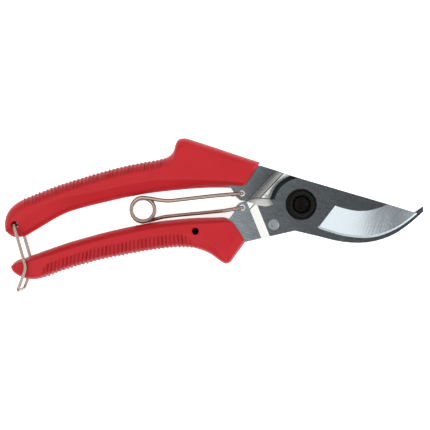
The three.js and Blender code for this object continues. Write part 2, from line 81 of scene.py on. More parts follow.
# ------------------------------------------------------------------ settings
class ShearsGripSettings(bpy.types.PropertyGroup):
    rib_pitch: FloatProperty(
        name="Rib pitch", description="From one rib to the next", default=1.95 * MM,
        unit="LENGTH", precision=5,
    )
    rib_depth: FloatProperty(
        name="Rib depth", description="Height of a rib over its groove", default=0.75 * MM,
        unit="LENGTH", precision=5,
    )
    edge_radius: FloatProperty(
        name="Edge radius", description="Rounding of the grip's long edges", default=2.4 * MM,
        unit="LENGTH", precision=5,
    )
    lip: FloatProperty(
        name="Front lip", description="Width of the slope round the grip's front", default=2.2 * MM,
        unit="LENGTH", precision=5,
    )


class ShearsSteelSettings(bpy.types.PropertyGroup):
    broken_edge: FloatProperty(
        name="Broken edge", description="Rounding left on the steel's edges", default=0.14 * MM,
        unit="LENGTH", precision=5,
    )


class ShearsWireSettings(bpy.types.PropertyGroup):
    spring_diameter: FloatProperty(
        name="Spring wire", description="Diameter of the spring's wire", default=1.8 * MM,
        unit="LENGTH", precision=5,
    )
    latch_diameter: FloatProperty(
        name="Latch wire", description="Diameter of the latch's wire", default=1.5 * MM,
        unit="LENGTH", precision=5,
    )
    sides: IntProperty(
        name="Wire sides", description="Faces round a wire", default=20, min=8,
    )


class ShearsNutSettings(bpy.types.PropertyGroup):
    teeth: IntProperty(name="Nut teeth", description="Teeth round the nut's face", default=24)
    tooth_width: FloatProperty(
        name="Tooth width", description="Width of a tooth of the nut", default=0.62 * MM,
        unit="LENGTH", precision=5,
    )


class ShearsFinishSettings(bpy.types.PropertyGroup):
    plastic: FloatVectorProperty(
        name="Grip plastic", description="Colour of the moulded grips", subtype="COLOR",
        default=(0.40, 0.014, 0.019),
    )
    steel: FloatVectorProperty(
        name="Blade steel", description="Colour of the ground steel", subtype="COLOR",
        default=(0.30, 0.335, 0.355),
    )
    oxide: FloatVectorProperty(
        name="Black oxide", description="Colour of the pivot's black finish", subtype="COLOR",
        default=(0.002, 0.002, 0.002),
    )
    nickel: FloatVectorProperty(
        name="Wire plating", description="Colour of the plated wires", subtype="COLOR",
        default=(0.27, 0.215, 0.18),
    )
    floor: FloatVectorProperty(
        name="Floor", description="Colour of the studio floor", subtype="COLOR",
        default=(0.9, 0.9, 0.9),
    )


class ShearsSettings(bpy.types.PropertyGroup):
    grip: PointerProperty(type=ShearsGripSettings)
    steel: PointerProperty(type=ShearsSteelSettings)
    wire: PointerProperty(type=ShearsWireSettings)
    nut: PointerProperty(type=ShearsNutSettings)
    finish: PointerProperty(type=ShearsFinishSettings)


# ------------------------------------------------------------------ mesh helpers
def new_object(name, mesh, *materials):
    piece = bpy.data.objects.new(name, mesh)
    bpy.context.scene.collection.objects.link(piece)
    for material in materials:
        mesh.materials.append(material)
    return piece


def mesh_from(name, points, faces):
    mesh = bpy.data.meshes.new(name)
    mesh.from_pydata([tuple(point) for point in points], [], faces)
    mesh.update()
    return mesh


def tidy_mesh(mesh, weld=1e-7):
    """Merges doubles and turns the faces outwards."""
    shell = bmesh.new()
    shell.from_mesh(mesh)
    bmesh.ops.remove_doubles(shell, verts=shell.verts, dist=weld)
    bmesh.ops.recalc_face_normals(shell, faces=shell.faces)
    shell.to_mesh(mesh)
    shell.free()
    mesh.update()


def baked(piece):
    """Replaces the object's mesh by its evaluated one and takes its modifiers off."""
    graph = bpy.context.evaluated_depsgraph_get()
    mesh = bpy.data.meshes.new_from_object(piece.evaluated_get(graph), depsgraph=graph)
    old = piece.data
    piece.modifiers.clear()
    piece.data = mesh
    if old.users == 0:
        bpy.data.meshes.remove(old)
    return piece


def shade(piece, angle=35):
    piece.data.shade_smooth()
    piece.data.set_sharp_from_angle(angle=math.radians(angle))


def lathe(name, profile, centre, segments=72):
    """A turned solid. The profile's (radius, height) points are in millimetres."""
    points = []
    faces = []
    rows = len(profile)
    for i in range(segments):
        turn = 2 * math.pi * i / segments
        for radius, height in profile:
            x = centre[0] + radius * MM * math.cos(turn)
            y = centre[1] + radius * MM * math.sin(turn)
            points.append((x, y, height * MM))
    for i in range(segments):
        for row in range(rows - 1):
            a = i * rows + row
            b = ((i + 1) % segments) * rows + row
            faces.append((a, b, b + 1, a + 1))
    mesh = mesh_from(name, points, faces)
    tidy_mesh(mesh)
    return mesh


def filleted(corners, radius, steps=4):
    """Rounds the inner corners of an open outline of 2-D points."""
    rounded = [corners[0]]
    for before, corner, after in zip(corners, corners[1:], corners[2:]):
        into = Vector(before) - Vector(corner)
        out = Vector(after) - Vector(corner)
        trim = min(radius, into.length * 0.45, out.length * 0.45)
        start = Vector(corner) + into.normalized() * trim
        end = Vector(corner) + out.normalized() * trim
        for i in range(steps + 1):
            t = i / steps
            point = start * (1 - t) ** 2 + Vector(corner) * 2 * t * (1 - t) + end * t * t
            rounded.append(tuple(point))
    rounded.append(corners[-1])
    return rounded


def catmull(points, per_span):
    """A smooth line through points of any dimension."""
    points = [Vector(point) for point in points]
    line = []
    for i in range(len(points) - 1):
        before = points[i - 1] if i else points[0] * 2 - points[1]
        here = points[i]
        there = points[i + 1]
        after = points[i + 2] if i + 2 < len(points) else there * 2 - here
        for step in range(per_span):
            t = step / per_span
            a = here * 2 + (there - before) * t
            b = (before * 2 - here * 5 + there * 4 - after) * t * t
            c = (here * 3 - before - there * 3 + after) * t ** 3
            line.append((a + b + c) / 2)
    line.append(points[-1])
    return line


# ------------------------------------------------------------------ geometry node trees
class Tree:
    """A small helper for wiring a node tree."""

    def __init__(self, tree):
        self.tree = tree

    def add(self, kind, inputs=None, **settings):
        node = self.tree.nodes.new(kind)
        for key, value in settings.items():
            setattr(node, key, value)
        for key, value in (inputs or {}).items():
            socket = node.inputs[key]
            if isinstance(value, bpy.types.NodeSocket):
                self.tree.links.new(value, socket)
            else:
                socket.default_value = value
        return node

    def math(self, operation, first, second=0.0, clamp=False):
        inputs = {0: first, 1: second}
        return self.add("ShaderNodeMath", inputs, operation=operation, use_clamp=clamp).outputs[0]


def geometry_tree(name, sockets):
    tree = bpy.data.node_groups.new(name, "GeometryNodeTree")
    tree.is_modifier = True
    face = tree.interface
    face.new_socket("Geometry", in_out="INPUT", socket_type="NodeSocketGeometry")
    for label, kind in sockets:
        face.new_socket(label, in_out="INPUT", socket_type=f"NodeSocket{kind}")
    face.new_socket("Geometry", in_out="OUTPUT", socket_type="NodeSocketGeometry")
    build = Tree(tree)
    return build, build.add("NodeGroupInput").outputs


def end_tree(build, geometry, material):
    """Every tree ends the same way: instances made real, then the material set."""
    real = build.add("GeometryNodeRealizeInstances", {"Geometry": geometry})
    finished = build.add(
        "GeometryNodeSetMaterial", {"Geometry": real.outputs[0], "Material": material}
    )
    build.add("NodeGroupOutput", {"Geometry": finished.outputs[0]})
    return build.tree


def run_tree(piece, tree, **values):
    """Runs the tree on the object and keeps the plain mesh that comes out."""
    modifier = piece.modifiers.new(tree.name, "NODES")
    modifier.node_group = tree
    labels = {label.lower().replace(" ", "_"): value for label, value in values.items()}
    for item in tree.interface.items_tree:
        key = item.name.lower().replace(" ", "_")
        if item.in_out == "INPUT" and key in labels:
            modifier[item.identifier] = labels[key]
    graph = bpy.context.evaluated_depsgraph_get()
    mesh = bpy.data.meshes.new_from_object(piece.evaluated_get(graph), depsgraph=graph)
    name = piece.name
    bpy.data.objects.remove(piece)
    mesh.name = name
    made = bpy.data.objects.new(name, mesh)
    bpy.context.scene.collection.objects.link(made)
    return made


def rib_tree():
    """Presses grooves into the surface along the attribute "rib_run", where "rib_band" is 1."""
    build, given = geometry_tree(
        "Moulded ribs", [("Pitch", "Float"), ("Depth", "Float"), ("Material", "Material")]
    )
    run = build.add("GeometryNodeInputNamedAttribute", {"Name": "rib_run"}).outputs[0]
    band = build.add("GeometryNodeInputNamedAttribute", {"Name": "rib_band"}).outputs[0]
    phase = build.math("MULTIPLY", build.math("DIVIDE", run, given["Pitch"]), math.pi)
    wave = build.math("ABSOLUTE", build.math("SINE", phase))
    ridge = build.math("POWER", wave, 0.6)
    groove = build.math("MULTIPLY", build.math("SUBTRACT", 1.0, ridge), band)
    depth = build.math("MULTIPLY", build.math("MULTIPLY", groove, given["Depth"]), -1.0)
    normal = build.add("GeometryNodeInputNormal").outputs[0]
    offset = build.add(
        "ShaderNodeVectorMath", {0: normal, "Scale": depth}, operation="SCALE"
    ).outputs[0]
    # The groove depth is stored too, for the painted shade in the grip's grooves.
    stored = build.add(
        "GeometryNodeStoreNamedAttribute",
        {"Geometry": given["Geometry"], "Name": "groove", "Value": groove},
        domain="POINT",
    )
    pressed = build.add(
        "GeometryNodeSetPosition", {"Geometry": stored.outputs[0], "Offset": offset}
    )
    return end_tree(build, pressed.outputs[0], given["Material"])


def wire_tree():
    """A round wire along a curve, closed at both ends, with its length stored for the finish."""
    build, given = geometry_tree(
        "Bent wire", [("Radius", "Float"), ("Sides", "Int"), ("Material", "Material")]
    )
    length = build.add("GeometryNodeSplineParameter").outputs["Length"]
    marked = build.add(
        "GeometryNodeStoreNamedAttribute",
        {"Geometry": given["Geometry"], "Name": "wire_run", "Value": length},
        domain="POINT",
    )
    ring = build.add(
        "GeometryNodeCurvePrimitiveCircle",
        {"Resolution": given["Sides"], "Radius": given["Radius"]},
    )
    swept = build.add(
        "GeometryNodeCurveToMesh",
        {"Curve": marked.outputs[0], "Profile Curve": ring.outputs[0], "Fill Caps": True},
    )
    return end_tree(build, swept.outputs[0], given["Material"])


def teeth_tree():
    """Adds a ring of small radial teeth to a turned nut."""
    build, given = geometry_tree(
        "Radial teeth",
        [("Count", "Int"), ("Ring", "Float"), ("Size", "Vector"), ("Place", "Vector"),
         ("Material", "Material")],
    )
    ring = build.add(
        "GeometryNodeMeshCircle", {"Vertices": given["Count"], "Radius": given["Ring"]}
    )
    tooth = build.add("GeometryNodeMeshCube", {"Size": given["Size"]})
    outward = build.add("GeometryNodeInputPosition").outputs[0]
    turn = build.add("FunctionNodeAlignRotationToVector", {"Vector": outward}, axis="X")
    teeth = build.add(
        "GeometryNodeInstanceOnPoints",
        {"Points": ring.outputs[0], "Instance": tooth.outputs[0], "Rotation": turn.outputs[0]},
    )
    loose = build.add("GeometryNodeRealizeInstances", {"Geometry": teeth.outputs[0]})
    # The teeth are marked for a painted highlight in the black finish.
    glint_teeth = build.add(
        "GeometryNodeStoreNamedAttribute",
        {"Geometry": loose.outputs[0], "Name": "wear", "Value": 1.0},
        domain="POINT",
    )
    placed = build.add(
        "GeometryNodeTransform", {"Geometry": glint_teeth.outputs[0], "Translation": given["Place"]}
    )
    both = build.add("GeometryNodeJoinGeometry")
    build.tree.links.new(given["Geometry"], both.inputs[0])
    build.tree.links.new(placed.outputs[0], both.inputs[0])
    return end_tree(build, both.outputs[0], given["Material"])


# ------------------------------------------------------------------ shared surface effects
def effect(name, inputs, outputs):
    """A shader node group with named inputs and outputs."""
    tree = bpy.data.node_groups.new(name, "ShaderNodeTree")
    for label, kind, value in inputs:
        socket = tree.interface.new_socket(label, in_out="INPUT", socket_type=f"NodeSocket{kind}")
        if value is not None:
            socket.default_value = value
    for label, kind in outputs:
        tree.interface.new_socket(label, in_out="OUTPUT", socket_type=f"NodeSocket{kind}")
    build = Tree(tree)
    return build, build.add("NodeGroupInput").outputs


def streaks_effect():
    """Fine lines left by grinding, along a direction in the plan."""
    build, given = effect(
        "Grinding lines",
        [("Vector", "Vector", None), ("Direction", "Float", 0.0), ("Fineness", "Float", 6000.0),
         ("Stretch", "Float", 40.0)],
        [("Height", "Float"), ("Cloud", "Float")],
    )
    turned = build.add(
        "ShaderNodeVectorRotate",
        {"Vector": given["Vector"], "Angle": given["Direction"]},
        rotation_type="Z_AXIS",
    ).outputs[0]
    along = build.math("DIVIDE", given["Fineness"], given["Stretch"])
    spread = build.add(
        "ShaderNodeCombineXYZ", {"X": along, "Y": given["Fineness"], "Z": given["Fineness"]}
    ).outputs[0]
    stretched = build.add(
        "ShaderNodeVectorMath", {0: turned, 1: spread}, operation="MULTIPLY"
    ).outputs[0]
    lines = build.add(
        "ShaderNodeTexNoise", {"Vector": stretched, "Scale": 1.0, "Detail": 4.0, "Roughness": 0.65}
    ).outputs[0]
    cloud = build.add(
        "ShaderNodeTexNoise", {"Vector": given["Vector"], "Scale": 90.0, "Detail": 3.0}
    ).outputs[0]
    build.add("NodeGroupOutput", {"Height": lines, "Cloud": cloud})
    return build.tree


def scuffs_effect():
    """Sparse marks of handling: a mask that is 0 almost everywhere."""
    build, given = effect(
        "Handling marks",
        [("Vector", "Vector", None), ("Scale", "Float", 300.0), ("Cover", "Float", 0.3)],
        [("Mask", "Float")],
    )
    warp = build.add(
        "ShaderNodeTexNoise", {"Vector": given["Vector"], "Scale": given["Scale"], "Detail": 8.0,
                               "Roughness": 0.7, "Distortion": 0.6}
    ).outputs[0]
    start = build.math("SUBTRACT", 0.78, build.math("MULTIPLY", given["Cover"], 0.25))
    mask = build.add(
        "ShaderNodeMapRange",
        {"Value": warp, "From Min": start, "From Max": 0.85, "To Min": 0.0, "To Max": 1.0},
    ).outputs[0]
    build.add("NodeGroupOutput", {"Mask": mask})
    return build.tree


class Finish:
    """One material: its node tree, its shader and its object coordinates."""

    def __init__(self, name, **constants):
        self.material = bpy.data.materials.new(name)
        self.material.use_nodes = True
        nodes = self.material.node_tree.nodes
        self.shader = nodes["Principled BSDF"]
        self.build = Tree(self.material.node_tree)
        self.place = self.build.add("ShaderNodeTexCoord").outputs["Object"]
        for label, value in constants.items():
            self.shader.inputs[label.replace("_", " ")].default_value = value

    def effect(self, tree, **values):
        node = self.build.add("ShaderNodeGroup", node_tree=tree)
        for label, value in values.items():
            socket = node.inputs[label]
            if isinstance(value, bpy.types.NodeSocket):
                self.build.tree.links.new(value, socket)
            else:
                socket.default_value = value
        if "Vector" not in values:
            self.build.tree.links.new(self.place, node.inputs["Vector"])
        return node.outputs

    def mix(self, share, first, second):
        node = self.build.add("ShaderNodeMix", data_type="RGBA")
        for index, value in ((0, share), (6, first), (7, second)):
            if isinstance(value, bpy.types.NodeSocket):
                self.build.tree.links.new(value, node.inputs[index])
            elif index == 0:
                node.inputs[0].default_value = value
            else:
                node.inputs[index].default_value = (*value, 1.0)
        return node.outputs[2]

    def span(self, value, low, high, start=0.0, end=1.0):
        return self.build.add(
            "ShaderNodeMapRange",
            {"Value": value, "From Min": start, "From Max": end, "To Min": low, "To Max": high},
        ).outputs[0]

    def feed(self, label, value):
        self.build.tree.links.new(value, self.shader.inputs[label])

    def bump(self, height, strength, distance):
        node = self.build.add(
            "ShaderNodeBump", {"Strength": strength, "Distance": distance, "Height": height}
        )
        self.feed("Normal", node.outputs[0])


def scaled(colour, factor):
    return tuple(min(1.0, value * factor) for value in colour[:3])


def pocket_painted_shade(finish):
    """Painted shade on the hook: darkens the pocket's floor and draws a dark line at the foot of the
    step.
    """
    build = finish.build
    axes = build.add("ShaderNodeSeparateXYZ", {0: finish.place}).outputs
    radius = build.add(
        "ShaderNodeVectorMath", {0: finish.place, 1: (1.0, 1.0, 0.0)}, operation="MULTIPLY"
    ).outputs[0]
    radius = build.add("ShaderNodeVectorMath", {0: radius}, operation="LENGTH").outputs["Value"]
    deep = finish.span(axes["Z"], 1.0, 0.0, *POCKET_FLOOR)
    inside = finish.span(radius, 1.0, 0.0, *POCKET_EDGE)
    turn = math.radians(STEP_ANGLE)
    along = build.add(
        "ShaderNodeVectorMath", {0: finish.place, 1: (math.cos(turn), math.sin(turn), 0.0)},
        operation="DOT_PRODUCT",
    ).outputs["Value"]
    off = build.math("ABSOLUTE", build.math("ADD", along, STEP_PLACE))
    line = build.math("MULTIPLY", finish.span(off, 1.0, 0.0, *STEP_LINE),
                      finish.span(axes["Z"], 0.0, 1.0, *STEP_HEIGHT))
    above = finish.span(axes["Y"], 0.0, 1.0, *POCKET_SIDE)
    pocket = build.math("MULTIPLY", build.math("MULTIPLY", deep, inside), above)
    return build.math("MAXIMUM", pocket, line)


def ground_steel(name, colour, effects, direction, roughness, fineness=7000.0, depth=0.3,
                 paint_pocket_shade=False):
    """Steel with grinding lines, a little cloudiness and a few marks; where asked, painted shade in
    the hook's pocket and along its step.
    """
    finish = Finish(name, Metallic=1.0)
    lines = finish.effect(
        effects["lines"], Direction=math.radians(direction), Fineness=fineness, Stretch=45.0
    )
    marks = finish.effect(effects["marks"], Scale=240.0, Cover=0.25)["Mask"]
    tone = finish.mix(lines["Height"], scaled(colour, 0.88), scaled(colour, 1.1))
    clouded = finish.mix(finish.span(lines["Cloud"], 0.0, 0.22), tone, scaled(colour, 0.82))
    marked = finish.mix(finish.span(marks, 0, 0.2), clouded, scaled(colour, 1.2))
    # Painted shade: the hook's pocket floor and the foot of its step are darkened in the colour.
    pocket_shaded = finish.mix(pocket_painted_shade(finish), marked, scaled(colour, 0.15)) if paint_pocket_shade else marked
    finish.feed("Base Color", pocket_shaded)
    spread = finish.span(lines["Height"], roughness * 0.75, roughness * 1.3, 0.3, 0.7)
    finish.feed("Roughness", spread)
    finish.bump(lines["Height"], depth, 0.00003)
    return finish.material


def moulded_plastic(name, colour, effects):
    """Satin plastic: painted shade darkens the rib grooves; paler where hands have worn it."""
    finish = Finish(name, Specular_IOR_Level=0.12)
    groove = finish.build.add("ShaderNodeAttribute", attribute_name="groove").outputs["Fac"]
    cloud = finish.build.add(
        "ShaderNodeTexNoise", {"Vector": finish.place, "Scale": 60.0, "Detail": 5.0}
    ).outputs[0]
    marks = finish.effect(effects["marks"], Scale=420.0, Cover=0.35)["Mask"]
    base = finish.mix(cloud, scaled(colour, 0.9), scaled(colour, 1.08))
    # Painted shade: the colour is darkened down the rib grooves.
    deep = finish.mix(finish.span(groove, 0.0, 0.9), base, scaled(colour, 0.35))
    pale = tuple(value * 0.7 + 0.12 for value in colour)
    finish.feed("Base Color", finish.mix(finish.span(marks, 0.0, 0.3), deep, pale))
    finish.feed("Roughness", finish.span(cloud, 0.3, 0.42, 0.3, 0.7))
    grain = finish.build.add(
        "ShaderNodeTexNoise", {"Vector": finish.place, "Scale": 2600.0, "Detail": 3.0}
    ).outputs[0]
    finish.bump(grain, 0.16, 0.00006)
    return finish.material


def black_oxide(name, colour, effects):
    """Black finish, worn through in small spots, with painted highlights on the nut's teeth."""
    finish = Finish(name, Specular_IOR_Level=0.05)
    marks = finish.effect(effects["marks"], Scale=1500.0, Cover=1.0)["Mask"]
    cloud = finish.build.add(
        "ShaderNodeTexNoise", {"Vector": finish.place, "Scale": 700.0, "Detail": 6.0}
    ).outputs[0]
    wear = finish.build.add("ShaderNodeAttribute", attribute_name="wear").outputs["Fac"]
    base = finish.mix(cloud, scaled(colour, 0.5), scaled(colour, 1.4))
    specked = finish.mix(finish.span(marks, 0.0, 0.4), base, (0.12, 0.1, 0.07))
    # Painted highlight: the nut's teeth are made lighter than the black.
    finish.feed("Base Color", finish.mix(finish.span(wear, 0.0, 0.8), specked, (0.02, 0.018, 0.015)))
    finish.feed("Roughness", finish.span(cloud, 0.24, 0.42, 0.3, 0.7))
    finish.bump(cloud, 0.3, 0.00008)
    return finish.material


def plated_wire(name, colour, effects, roughness):
    """Bright drawn wire with faint lengthwise lines and dulled patches."""
    finish = Finish(name, Metallic=1.0)
    run = finish.build.add("ShaderNodeAttribute", attribute_name="wire_run").outputs["Fac"]
    bands = finish.build.add(
        "ShaderNodeTexNoise", {"W": run, "Scale": 130.0, "Detail": 5.0}, noise_dimensions="1D"
    ).outputs[0]
    fine = finish.build.add(
        "ShaderNodeTexNoise", {"Vector": finish.place, "Scale": 1500.0, "Detail": 4.0}
    ).outputs[0]
    marks = finish.effect(effects["marks"], Scale=600.0, Cover=0.5)["Mask"]
    base = finish.mix(bands, scaled(colour, 0.85), scaled(colour, 1.12))
    worn = finish.mix(finish.span(marks, 0, 0.5), base, scaled(colour, 0.5))
    finish.feed("Base Color", worn)
    finish.feed("Roughness", finish.span(fine, roughness * 0.7, roughness * 1.4, 0.3, 0.7))
    finish.bump(fine, 0.15, 0.00003)
    return finish.material


def finishes():
    """The object's materials, made once and looked up by name after that."""
    made = bpy.data.materials
    if "Grip plastic" not in made:
        colours = bpy.context.scene.shears.finish
        effects = {"lines": streaks_effect(), "marks": scuffs_effect()}
        steel = tuple(colours.steel)
        moulded_plastic("Grip plastic", tuple(colours.plastic), effects)
        # Bevel, slope, leaf and edge steel are the one steel made brighter for faces that tilt
        # towards the light: painted highlights.
        highlight_steel = (steel[0] * 1.5, steel[1] * 1.37, steel[2] * 1.24)
        ground_steel("Blade steel", steel, effects, 16, 0.2, 9000.0, 0.1)
        ground_steel("Tang steel", scaled(steel, 1.3), effects, 16, 0.22, 9000.0, 0.1)
        ground_steel("Hook steel", steel, effects, 16, 0.2, 9000.0, 0.1, paint_pocket_shade=True)
        ground_steel("Bevel steel", scaled(steel, 1.2), effects, 100, 0.24, 9000.0, 0.05)
        ground_steel("Slope steel", highlight_steel, effects, 70, 0.22, 9000.0, 0.1, paint_pocket_shade=True)
        ground_steel("Leaf steel", scaled(highlight_steel, 1.7), effects, 5, 0.5, 5000.0, 0.4)
        ground_steel("Edge steel", scaled(steel, 2.2), effects, 100, 0.4, 9000.0, 0.1)
        ground_steel("Pin steel", scaled(steel, 0.9), effects, 40, 0.33)
        black_oxide("Black oxide", tuple(colours.oxide), effects)
        plated_wire("Plated wire", tuple(colours.nickel), effects, 0.2)
        plated_wire("Latch plating", scaled(tuple(colours.nickel), 1.15), effects, 0.24)
    return made


# ------------------------------------------------------------------ grips
# Each row: a point on the ribbed edge, a point on the edge facing the other grip, and the width
# of the sloping band along that edge. All in millimetres, from the front to the butt.
UPPER_ROWS = (
    (-19.2, 20.2, -27.3, 8.0, 2.4), (-25, 22.1, -30.5, 8.0, 2.7), (-32, 24.4, -35, 8.1, 3.0),
    (-40, 27.1, -42, 8.1, 3.5), (-47, 29.35, -48, 7.85, 4.0), (-52.4, 31.1, -53, 7.5, 4.4),
    (-55.4, 31.8, -55.5, 7.3, 4.7), (-58.3, 31.2, -57.5, 7.1, 4.9),
    (-59.7, 29.0, -59.5, 6.95, 5.1), (-60.5, 26.1, -61.3, 6.75, 5.2),
    (-62.1, 23.8, -63.2, 6.55, 5.4), (-64.6, 22.2, -65.6, 6.3, 5.6), (-68.5, 21.1, -69, 5.9, 5.8),
    (-76.5, 19.7, -76, 4.85, 5.8), (-86, 17.7, -85, 3.1, 5.8), (-95.5, 15.2, -94, 1.05, 5.9),
    (-105, 12.4, -103, -1.2, 6.4), (-114.5, 9.4, -111, -3.6, 7.2),
    (-122, 6.6, -117.5, -6.7, 7.6), (-129, 3.8, -123.5, -10.3, 7.8),
    (-134.4, 1.6, -128.5, -13.3, 7.4), (-138.1, -1.1, -131.5, -15.0, 6.6),
    (-140.2, -4.0, -134.6, -15.6, 5.6), (-141.2, -7.2, -137.8, -15.35, 4.0),
    (-141.3, -10.4, -140.0, -13.9, 2.0), (-140.9, -12.4, -140.7, -12.9, 0.5),
)
LOWER_ROWS = (
    (-26.2, -17.6, -33.6, -6.9, 2.2), (-28.6, -21.0, -36.5, -6.05, 2.6),
    (-31.2, -24.6, -39.5, -6.1, 2.9), (-33.2, -27.4, -42, -6.15, 3.0),
    (-35.4, -28.4, -43.6, -6.2, 3.0), (-37.9, -27.4, -44.8, -6.2, 3.0),
    (-40.6, -25.4, -46.2, -6.25, 3.0), (-44, -23.2, -48.4, -6.3, 3.0),
    (-48.4, -21.4, -51.4, -6.45, 3.0), (-53, -20.4, -55, -6.7, 3.0), (-59, -20.2, -60, -7.2, 3.1),
    (-67, -20.9, -67.4, -8.0, 3.2), (-76.5, -22.4, -76.4, -9.55, 3.3),
    (-86, -24.2, -85.4, -11.4, 3.4), (-95.5, -26.1, -94.4, -13.5, 3.5),
    (-105, -28.6, -103.4, -15.95, 3.6), (-113, -31.05, -111.4, -18.25, 3.6),
    (-120.4, -33.8, -118.6, -20.75, 3.4), (-125, -35.5, -123.4, -22.4, 3.0),
    (-129.3, -35.8, -128.2, -24.2, 2.6), (-133.0, -34.8, -132.0, -25.6, 2.2),
    (-135.9, -33.4, -135.1, -26.4, 1.6), (-137.8, -31.6, -137.4, -28.0, 1.0),
    (-138.3, -30.2, -138.3, -29.7, 0.4),
)
RING = 44                    # points across one face of a grip
ROW_STEP = 0.27              # millimetres between rows
RIBS = {                     # rib band: width, end rows and how far each end fades, in mm
    "upper": {"band": 4.6, "first": -63.4, "last": -134.0, "fade": (3.0, 3.0),
              "slope": 3.4, "bevel": 4.2},
    "lower": {"band": 6.6, "first": -44.0, "last": -125.2, "fade": (13.0, 4.0),
              "slope": 1.8, "bevel": 3.3},
}


def spaced_rows(rows):
    """The rows, resampled evenly along the ribbed edge, each with its run along that edge."""
    dense = [tuple(row) for row in catmull(rows, ROW_STEPS)]
    runs, tracks = [0.0], [0.0]
    for before, after in zip(dense, dense[1:]):
        outer = math.hypot(after[0] - before[0], after[1] - before[1])
        inner = math.hypot(after[2] - before[2], after[3] - before[3])
        runs.append(runs[-1] + outer)
        # Where the ribbed edge hardly moves, the rows still have to advance.
        tracks.append(tracks[-1] + max(outer, inner))
    count = int(tracks[-1] / ROW_STEP)
    spaced = []
    index = 0
    for i in range(count + 1):
        target = tracks[-1] * i / count
        while index + 2 < len(tracks) and tracks[index + 1] < target:
            index += 1
        share = (target - tracks[index]) / max(1e-9, tracks[index + 1] - tracks[index])
        share = min(1.0, max(0.0, share))
        mixed = [a + (b - a) * share for a, b in zip(dense[index], dense[index + 1])]
        spaced.append((mixed, runs[index] + (runs[index + 1] - runs[index]) * share))
    return spaced


def smoothstep(value):
    value = min(1.0, max(0.0, value))
    return value * value * (3 - 2 * value)


def grip_height(depth, width, band, ribs, half, edge):
    """Half the grip's thickness at a depth in from its ribbed edge, in millimetres."""
    ribbed = ribs["band"]
    slope_out = ribs["slope"]
    slope_in = ribs["bevel"]
    height = half
    if depth < ribbed:
        height -= slope_out * (1 - depth / ribbed)
    if depth > width - band:
        height -= slope_in * (depth - width + band) / band
    edge = min(edge, width / 2)
    outer = min(1.0, depth / edge)
    inner = min(1.0, (width - depth) / edge)
    return height * math.sqrt(max(0.0, 1 - (1 - outer) ** 2.2)) * math.sqrt(
        max(0.0, 1 - (1 - inner) ** 2.2)
    )


def grip_mesh(name, rows, ribs, lip, edge_radius):
    """A grip lofted through its rows, closed at the front and rounded at the butt."""
    half = GRIP_HALF / MM
    spaced = spaced_rows(rows)
    points, runs, bands = [], [], []
    ring = 2 * RING
    for number, (row, run) in enumerate(spaced):
        outer = Vector(row[:2])
        inner = Vector(row[2:4])
        width = max(0.02, (inner - outer).length)
        across = (inner - outer) / width
        front = min(1.0, number * ROW_STEP / lip)
        to_butt = (len(spaced) - 1 - number) * ROW_STEP
        butt = min(1.0, to_butt / BUTT_LENGTH)
        thick = half * (FRONT_SHARE + (1 - FRONT_SHARE) * math.sin(front * math.pi / 2))
        rounded = math.sqrt(max(0.0, 1 - (1 - butt) ** 2))
        thick *= BUTT_SHARE + (1 - BUTT_SHARE) * rounded
        begin = smoothstep((ribs["first"] - outer.x) / ribs["fade"][0])
        end = smoothstep((outer.x - ribs["last"]) / ribs["fade"][1])
        along = begin * end
        for k in range(ring):
            side = 1 if k < RING else -1
            j = k if k < RING else ring - k
            depth = width * (1 - math.cos(math.pi * j / RING)) / 2
            z = side * grip_height(depth, width, row[4], ribs, thick, edge_radius)
            if j in (0, RING):
                z = 0.0
            spot = outer + across * depth
            points.append((spot.x * MM, spot.y * MM, MEET + z * MM))
            runs.append(run * MM)
            reach = 1 - smoothstep((depth - ribs["band"] * along + 1.0) / 1.0)
            bands.append(along * reach)
    faces = []
    for number in range(len(spaced) - 1):
        for k in range(ring):
            a = number * ring + k
            b = number * ring + (k + 1) % ring
            faces.append((a, b, b + ring, a + ring))
    faces.append(tuple(range(ring)))
    last = (len(spaced) - 1) * ring
    faces.append(tuple(last + k for k in reversed(range(ring))))
    mesh = mesh_from(name, points, faces)
    for label, values in (("rib_run", runs), ("rib_band", bands)):
        mesh.attributes.new(label, "FLOAT", "POINT").data.foreach_set("value", values)
    shell = bmesh.new()
    shell.from_mesh(mesh)
    bmesh.ops.recalc_face_normals(shell, faces=shell.faces)
    shell.to_mesh(mesh)
    shell.free()
    mesh.shade_smooth()
    return mesh


def bore(piece, centre, radius, low, high, countersink):
    """Cuts a round hole with a slightly broken rim, from height low to height high."""
    x, y = centre
    profile = [(0, low / MM), (radius / MM, low / MM), (radius / MM, (high - countersink) / MM),
               ((radius + countersink) / MM, high / MM), ((radius + countersink) / MM, high / MM + 2),
               (0, high / MM + 2)]
    cutter = bpy.data.objects.new("cutter", lathe("cutter", profile, (x, y), 40))
    bpy.context.scene.collection.objects.link(cutter)
    modifier = piece.modifiers.new("bore", "BOOLEAN")
    modifier.operation = "DIFFERENCE"
    modifier.solver = "EXACT"
    modifier.object = cutter
    baked(piece)
    bpy.data.objects.remove(cutter)


class SHEARS_OT_grips(bpy.types.Operator):
    """Moulded grips with ribs along the outer edge"""

    bl_idname = "shears.grips"
    bl_label = "Grips"

    def execute(self, context):
        size = context.scene.shears.grip
        plastic = finishes()["Grip plastic"]
        tree = rib_tree()
        for name, rows, ribs, body in (
            ("upper_grip", UPPER_ROWS, RIBS["upper"], "hook_member"),
            ("lower_grip", LOWER_ROWS, RIBS["lower"], "blade_member"),
        ):
            mesh = grip_mesh(name, rows, ribs, size.lip / MM, size.edge_radius / MM)
            plain = new_object(f"{name}_skin", mesh)
            grip = run_tree(
                plain, tree, pitch=size.rib_pitch, depth=size.rib_depth, material=plastic
            )
            if name == "upper_grip":
                bore(grip, LATCH_HOLE.xy, 1.65 * MM, -0.001, MEET + GRIP_HALF, 0.35 * MM)
            else:
                socket = Vector((-50.2 * MM, -12.7 * MM))
                bore(grip, socket, 1.6 * MM, MEET + 3 * MM, MEET + GRIP_HALF, 0.3 * MM)
            shade(grip, 50)
            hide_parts(name)
            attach(grip, body)
        return {"FINISHED"}


